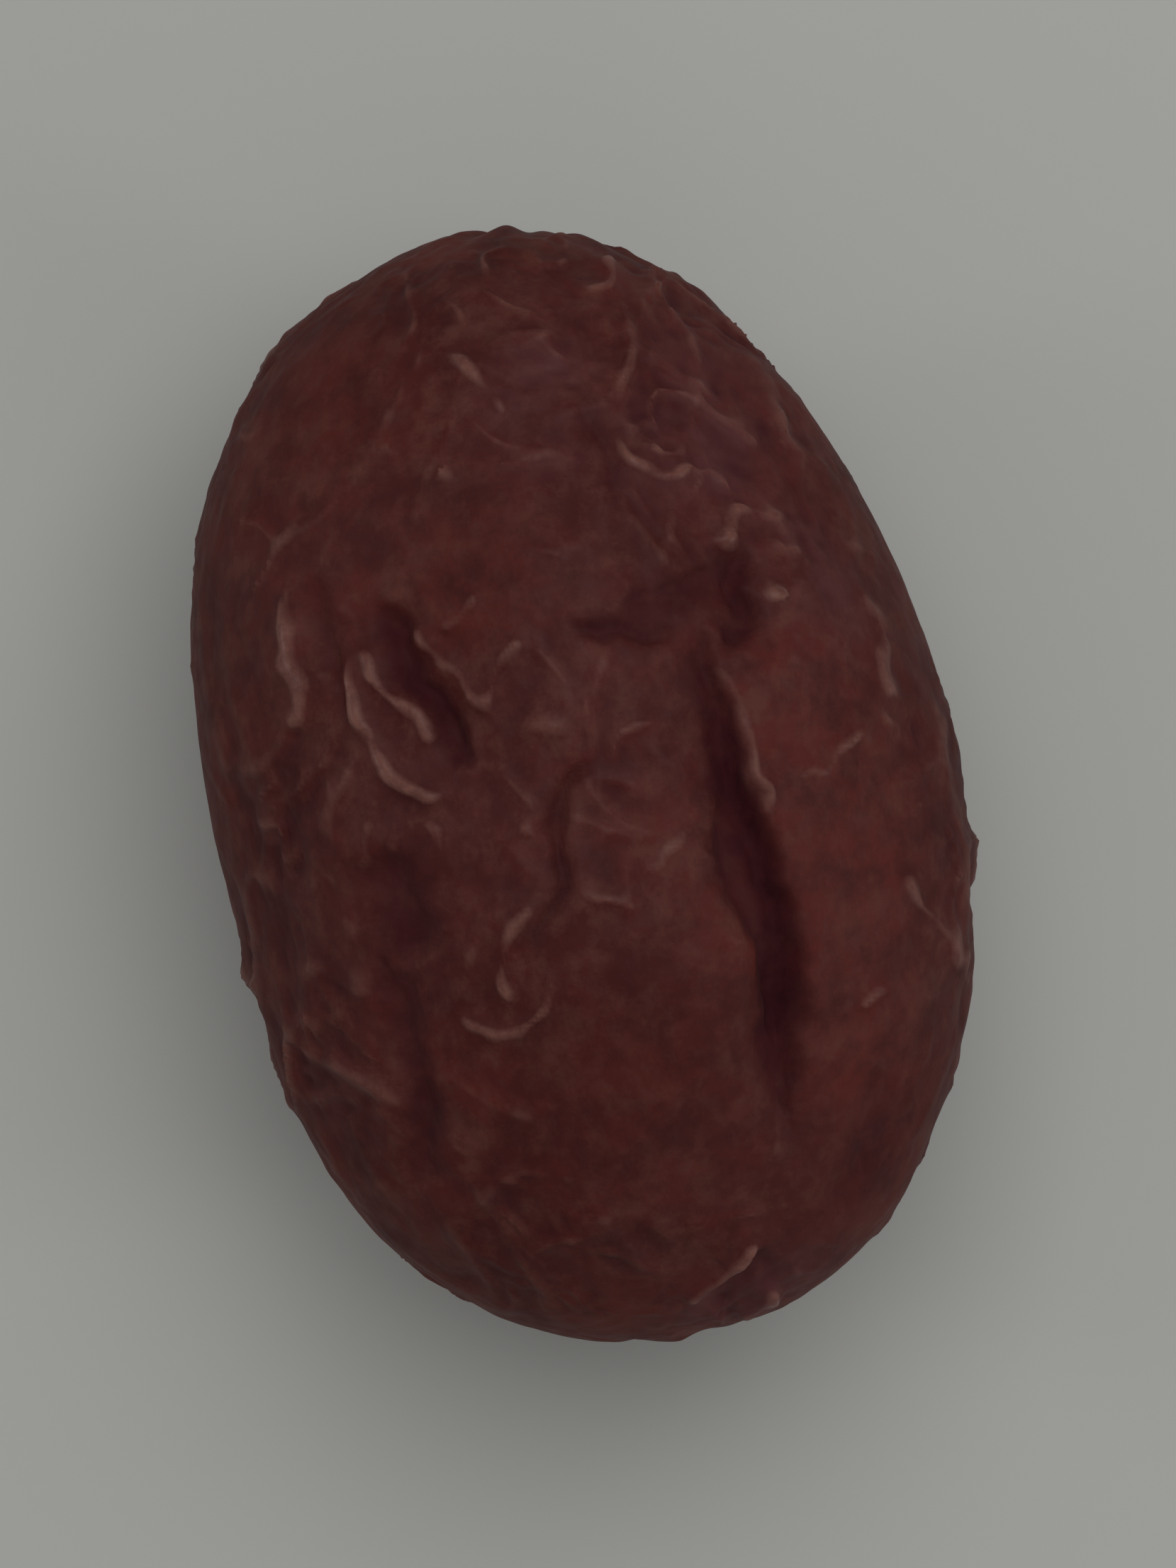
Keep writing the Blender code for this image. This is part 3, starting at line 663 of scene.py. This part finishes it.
def spread(value, taken, given=(0.0, 1.0)):
    """A number taken from one range to another, kept inside it."""
    node = nodes.new("ShaderNodeMapRange")
    node.inputs["From Min"].default_value = taken[0]
    node.inputs["From Max"].default_value = taken[1]
    node.inputs["To Min"].default_value = given[0]
    node.inputs["To Max"].default_value = given[1]
    links.new(value, node.inputs["Value"])
    return node.outputs["Result"]


def joined(work, a, b):
    """Two numbers worked into one: MULTIPLY, ADD, SUBTRACT or MAXIMUM."""
    node = nodes.new("ShaderNodeMath")
    node.operation = work
    for socket, value in zip(node.inputs, (a, b)):
        if isinstance(value, float):
            socket.default_value = value
        else:
            links.new(value, socket)
    return node.outputs["Value"]


def toned(share, under, over):
    """One colour laid over another by a share from 0 to 1. Sockets 6, 7 and 2 are the node's colour ones."""
    node = nodes.new("ShaderNodeMix")
    node.data_type = "RGBA"
    links.new(share, node.inputs["Factor"])
    for socket, colour in ((node.inputs[6], under), (node.inputs[7], over)):
        if isinstance(colour, tuple):
            socket.default_value = (*colour, 1)
        else:
            links.new(colour, socket)
    return node.outputs[2]


# The relief as masks: pale along the crests, a painted highlight with some rubbed wear, and dark
# in the creases, pits and valleys, a painted shade. The ranges are how far the skin stands proud
# there, in millimetres.
RIDGE_HIGHLIGHT = (0.04, 0.13)
WRINKLE_HIGHLIGHT = (0.03, 0.15)
WRINKLE_PALENESS = (0.0, 0.65)
VALLEY = (-0.15, -0.01)

crease = skin_layer("crease")
wrinkle = skin_layer("wrinkle")
dryness = skin_layer("shrunken")
# Painted highlight, with some rubbed wear: pale lines on the drawn ridges and proud wrinkles, kept off the
# creases and broken up in patches
small_lines = spread(wrinkle, WRINKLE_HIGHLIGHT, WRINKLE_PALENESS)
lines = joined("MAXIMUM", spread(skin_layer("ridge"), RIDGE_HIGHLIGHT), small_lines)
lines = joined("MULTIPLY", lines, spread(crease, (0.0, 1.0), (1.0, 0.0)))
crest_breakup = spread(mottle(0.6, detail=4.0, rough=0.65), (0.34, 0.58), (0.45, 1.0))
crest_highlight_and_wear = joined("MULTIPLY", lines, crest_breakup)
# Painted shade: darker in the creases and pits, broken up a little, and in the valleys between wrinkles
crease_shade = joined("MULTIPLY", crease, spread(mottle(0.9, detail=3.0), (0.3, 0.6), (0.75, 1.0)))
valley_shade_mask = joined("MAXIMUM", spread(wrinkle, VALLEY, (1.0, 0.0)), crease_shade)
# The net's relief in colour: pale along its lines as painted highlight, darker in the cells between as
# painted shade
web = mottle(2.4, detail=4.0, rough=0.6, stretch=1.2, kind="RIDGED_MULTIFRACTAL")
net = spread(web, (0.9, 1.5))
net_gap_shade = spread(web, (0.4, 1.0), (0.45, 0.0))

# Colour: maroon and red-brown patches, browner and plum where shrunken, a faint net of lighter
# lines with darker cells between (painted highlight and shade on the net's relief), lighter along
# the crests (painted highlight, with some rubbed wear), near black in the creases, pits and
# valleys (painted shade), with a woody scar in the stem pit
MAROON = (0.056, 0.0070, 0.0054)
DARK_MAROON = (0.034, 0.0042, 0.0036)
RED_BROWN = (0.118, 0.0158, 0.0096)
PLUM = (0.100, 0.0290, 0.0330)
BROWN = (0.122, 0.0400, 0.0280)
CREST_TAN = (0.150, 0.0640, 0.0500)
SHADOW = (0.028, 0.0028, 0.0056)
SCAR_TAN = (0.180, 0.0950, 0.0480)

patches = spread(mottle(7.0, detail=3.0), (0.36, 0.64))
reddened = joined("MAXIMUM", patches, spread(dryness, (0.0, 0.4), (0.6, 0.0)))
dried = spread(mottle(1.2, detail=6.0, rough=0.72), (0.46, 0.62), (0.0, 0.8))
browned = joined("MULTIPLY", spread(dryness, (0.0, 0.6), (0.35, 1.0)), dried)
clouds = spread(mottle(1.8, detail=6.0, rough=0.7), (0.43, 0.64), (0.0, 0.85))
plum_mottle = spread(mottle(2.0, detail=5.0, rough=0.65), (0.36, 0.58), (0.15, 0.9))
tone = toned(reddened, MAROON, RED_BROWN)
for share, colour in [
    (browned, BROWN),
    (clouds, DARK_MAROON),
    (joined("MULTIPLY", skin_layer("plum"), plum_mottle), PLUM),
    (spread(mottle(0.5, detail=4.0, rough=0.6, stretch=1.5), (0.50, 0.80), (0.0, 0.3)), CREST_TAN),
    # Then painted shade between the net's lines and painted highlight on them, painted shade in the valleys,
    # creases and pits, and painted highlight with some rubbed wear on the crests
    (net_gap_shade, DARK_MAROON),
    (joined("MULTIPLY", net, 0.24), CREST_TAN),
    (joined("MULTIPLY", valley_shade_mask, 0.95), SHADOW),
    (joined("MULTIPLY", crest_highlight_and_wear, 0.8), CREST_TAN),
    (skin_layer("scar"), SCAR_TAN),
]:
    tone = toned(share, tone, colour)
links.new(tone, shader.inputs["Base Color"])

# Finish: a dull wax gloss, uneven from patch to patch, smoother along the crests
ROUGHNESS = (0.56, 0.70)
CREST_SMOOTHER = 0.28
VALLEY_ROUGHER = 0.3
gloss = spread(mottle(0.6, detail=4.0), (0.35, 0.65), ROUGHNESS)
gloss = joined("SUBTRACT", gloss, joined("MULTIPLY", crest_highlight_and_wear, CREST_SMOOTHER))
gloss = joined("ADD", gloss, joined("MULTIPLY", valley_shade_mask, VALLEY_ROUGHER))
links.new(gloss, shader.inputs["Roughness"])
shader.inputs["Specular IOR Level"].default_value = 0.14
shader.inputs["Subsurface Weight"].default_value = 0.12
shader.inputs["Subsurface Radius"].default_value = (1.0, 0.25, 0.15)
shader.inputs["Subsurface Scale"].default_value = 0.0009

# Relief too small for the mesh, from broad to fine: the net, a grain along the fruit, and pores
fine_grain = mottle(0.5, detail=4.0, rough=0.6, stretch=1.4)
pores = mottle(0.12, detail=3.0)
normal = None
for relief, depth_mm, strength in [(net, 0.10, 0.5), (fine_grain, 0.06, 0.45), (pores, 0.02, 0.35)]:
    bump = nodes.new("ShaderNodeBump")
    bump.inputs["Strength"].default_value = strength
    bump.inputs["Distance"].default_value = depth_mm * MM
    links.new(relief, bump.inputs["Height"])
    if normal:
        links.new(normal, bump.inputs["Normal"])
    normal = bump.outputs["Normal"]
links.new(normal, shader.inputs["Normal"])
mesh.materials.append(material)

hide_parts("jujube_fruit")
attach(skin, "root")

# The floor: a plain sheet of pale grey card laid flat under the fruit, far wider than the
# view. It is not part of the object. Its half width is in metres.
FLOOR_HALF = 0.6
CARD_GREY = (0.38, 0.382, 0.368, 1)
CARD_ROUGHNESS = 0.85
floor_mesh = bpy.data.meshes.new("floor")
corners = [(x * FLOOR_HALF, y * FLOOR_HALF, 0) for x, y in [(-1, -1), (1, -1), (1, 1), (-1, 1)]]
floor_mesh.from_pydata(corners, [], [(0, 1, 2, 3)])
floor = bpy.data.objects.new("floor", floor_mesh)
bpy.context.scene.collection.objects.link(floor)
card = bpy.data.materials.new("pale_card")
card.use_nodes = True
card_shader = card.node_tree.nodes["Principled BSDF"]
card_shader.inputs["Base Color"].default_value = CARD_GREY
card_shader.inputs["Roughness"].default_value = CARD_ROUGHNESS
floor_mesh.materials.append(card)

# The light: one large soft box high above the face, a little to the right, three weak strips
# low round the fruit for the small glints along the crests, and an even pale surround.

# Each lamp's name, place and size in millimetres, and watts
LAMPS = [
    ("main soft box", (50, 100, 290), 240, 0.53),
    ("left strip", (-230, 60, 80), 50, 0.08),
    ("right strip", (220, -70, 70), 50, 0.09),
    ("stem end strip", (60, -230, 75), 60, 0.05),
]
AIM_MM = (0, 0, 10)
SURROUND_COLOUR = (1.0, 0.99, 0.965, 1)
SURROUND_STRENGTH = 0.32


def soft_box(name, place_mm, size_mm, watts):
    """A square area light at a place, aimed at the fruit's middle."""
    light = bpy.data.lights.new(name, "AREA")
    light.size = size_mm * MM
    light.energy = watts
    lamp = bpy.data.objects.new(name, light)
    lamp.location = Vector(place_mm) * MM
    aim = Vector(AIM_MM) * MM - lamp.location
    lamp.rotation_euler = aim.to_track_quat("-Z", "Y").to_euler()
    bpy.context.scene.collection.objects.link(lamp)


for lamp in LAMPS:
    soft_box(*lamp)
world = bpy.data.worlds.new("pale surround")
world.use_nodes = True
surround = world.node_tree.nodes["Background"]
surround.inputs["Color"].default_value = SURROUND_COLOUR
surround.inputs["Strength"].default_value = SURROUND_STRENGTH
bpy.context.scene.world = world

# The camera: straight above the face, as the photograph looks at it, and turned so that the
# tip leans to the left by the same angle. Distances are in metres.
LEAN_DEGREES = 7.4
CAMERA_ABOVE = 0.36
FOCAL_MM = 295
SENSOR_MM = 36
CLIP = (0.001, 10)
lens = bpy.data.cameras.new("camera")
lens.lens = FOCAL_MM
lens.sensor_width = SENSOR_MM
lens.sensor_fit = "AUTO"
lens.clip_start, lens.clip_end = CLIP
camera = bpy.data.objects.new("camera", lens)
camera.location = (0, 0, CAMERA_ABOVE)
camera.rotation_euler = Euler((0, 0, -math.radians(LEAN_DEGREES)))
bpy.context.scene.collection.objects.link(camera)
bpy.context.scene.camera = camera
bpy.context.scene.view_settings.view_transform = "Standard"
